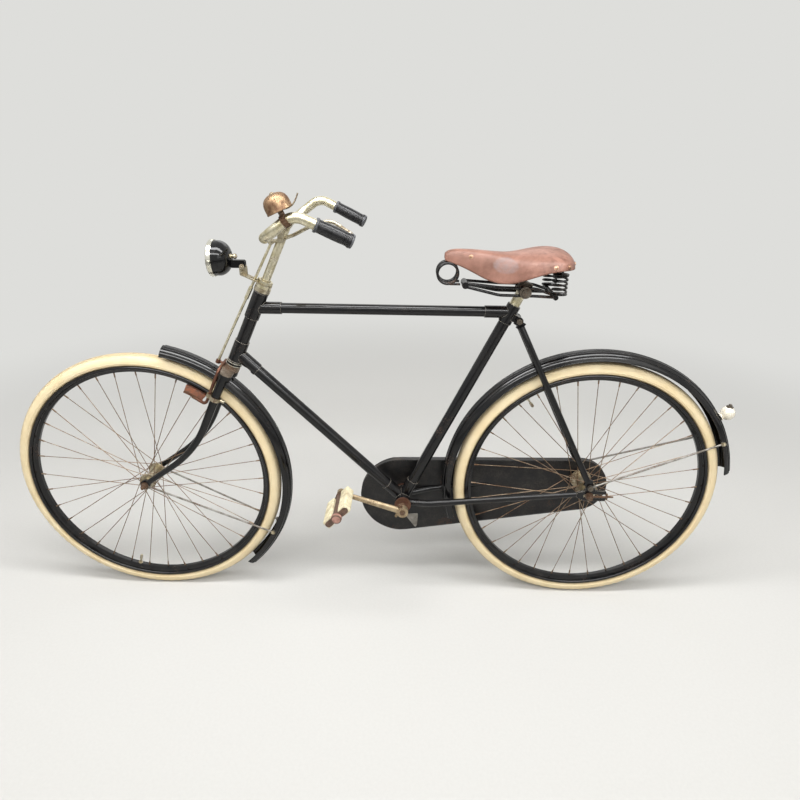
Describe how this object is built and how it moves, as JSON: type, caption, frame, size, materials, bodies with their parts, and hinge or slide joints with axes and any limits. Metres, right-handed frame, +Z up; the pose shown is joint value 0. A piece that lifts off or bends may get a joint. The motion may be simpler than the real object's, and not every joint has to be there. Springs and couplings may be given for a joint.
{
  "type": "roadster bicycle",
  "caption": "Upright city bicycle with a diamond frame, rod brake on the front wheel, full chain case, ribbed mudguards and a sprung leather saddle.",
  "frame": {"origin": "where the rider sits, on top of the saddle in the middle plane", "axes": "+X forward, +Y to the rider's left, +Z up"},
  "size_m": [1.9133, 0.4167, 1.1117],
  "materials": {
    "frame_enamel": "worn black enamel",
    "guard_enamel": "worn black enamel",
    "case_enamel": "worn black enamel",
    "rim_enamel": "worn black enamel",
    "nickel": "dull worn nickel with a cream tint",
    "steel": "dull steel with rust",
    "spoke_steel": "thin rust over steel",
    "cream_tyre": "cream rubber",
    "pedal_rubber": "cream rubber, greyed",
    "grip": "dull black",
    "saddle_leather": "worn tan leather",
    "spring_steel": "black spring steel",
    "bell_brass": "tarnished brass",
    "brake_rubber": "red brown rubber",
    "lamp_enamel": "black enamel",
    "lamp_glass": "clear glass",
    "tail_glass": "cream white"
  },
  "bodies": {
    "frame": {"head_tube": "frame_enamel", "top_tube": "frame_enamel", "down_tube": "frame_enamel", "seat_tube": "frame_enamel", "frame_lugs": "frame_enamel", "bottom_bracket_shell": "frame_enamel", "bottom_bracket_cups": "steel", "chain_stay_left": "frame_enamel", "chain_stay_right": "frame_enamel", "seat_stay_left": "frame_enamel", "seat_stay_right": "frame_enamel", "frame_bolts": "nickel", "rear_dropouts": "frame_enamel", "rear_axle": "steel", "headset_cups": "nickel", "seat_post": "nickel", "saddle_clamp": "nickel", "saddle_frame": "spring_steel", "saddle_springs": "spring_steel", "saddle_leather": "saddle_leather", "rear_mudguard": "guard_enamel", "rear_mudguard_stays": "guard_enamel", "tail_lamp": "tail_glass", "chain_case": "case_enamel"},
    "steering": {"fork_crown": "nickel", "fork_blade_left": "frame_enamel", "fork_blade_right": "frame_enamel", "front_axle": "steel", "headset_nuts": "nickel", "stem": "nickel", "handlebar": "nickel", "handle_grips": "grip", "bell_dome": "bell_brass", "bell_base": "nickel", "brake_clips": "nickel", "brake_lever": "nickel", "brake_rod": "nickel", "brake_stirrup": "nickel", "brake_blocks": "brake_rubber", "lamp_bracket": "nickel", "lamp_shell": "lamp_enamel", "lamp_rim": "nickel", "lamp_glass": "lamp_glass", "front_mudguard": "guard_enamel", "front_mudguard_stays": "guard_enamel"},
    "front_wheel": {"front_tyre": "cream_tyre", "front_rim": "rim_enamel", "front_spokes": "spoke_steel", "front_hub": "nickel"},
    "rear_wheel": {"rear_tyre": "cream_tyre", "rear_rim": "rim_enamel", "rear_spokes": "spoke_steel", "rear_hub": "nickel"},
    "crank": {"crank_axle": "steel", "crank_left": "nickel", "crank_right": "nickel"},
    "left_pedal": {"left_pedal_frame": "steel", "left_pedal_blocks": "pedal_rubber"},
    "right_pedal": {"right_pedal_frame": "steel", "right_pedal_blocks": "pedal_rubber"}
  },
  "joints": [
    {"name": "steering_turn", "type": "hinge", "parent": "frame", "child": "steering", "pos_m": [0.68759, 0, -0.20332], "axis": [-0.4147, 0, 0.91], "range_deg": [-75, 75]},
    {"name": "front_wheel_spin", "type": "hinge", "parent": "steering", "child": "front_wheel", "pos_m": [0.988, 0, -0.631], "axis": [0, 1, 0], "continuous": true},
    {"name": "rear_wheel_spin", "type": "hinge", "parent": "frame", "child": "rear_wheel", "pos_m": [-0.19, 0, -0.631], "axis": [0, 1, 0], "continuous": true},
    {"name": "crank_spin", "type": "hinge", "parent": "frame", "child": "crank", "pos_m": [0.3, 0, -0.685], "axis": [0, 1, 0], "continuous": true},
    {"name": "left_pedal_spin", "type": "hinge", "parent": "crank", "child": "left_pedal", "pos_m": [0.46168, 0.136, -0.63247], "axis": [0, 1, 0], "continuous": true},
    {"name": "right_pedal_spin", "type": "hinge", "parent": "crank", "child": "right_pedal", "pos_m": [0.13832, -0.136, -0.73753], "axis": [0, 1, 0], "continuous": true}
  ]
}
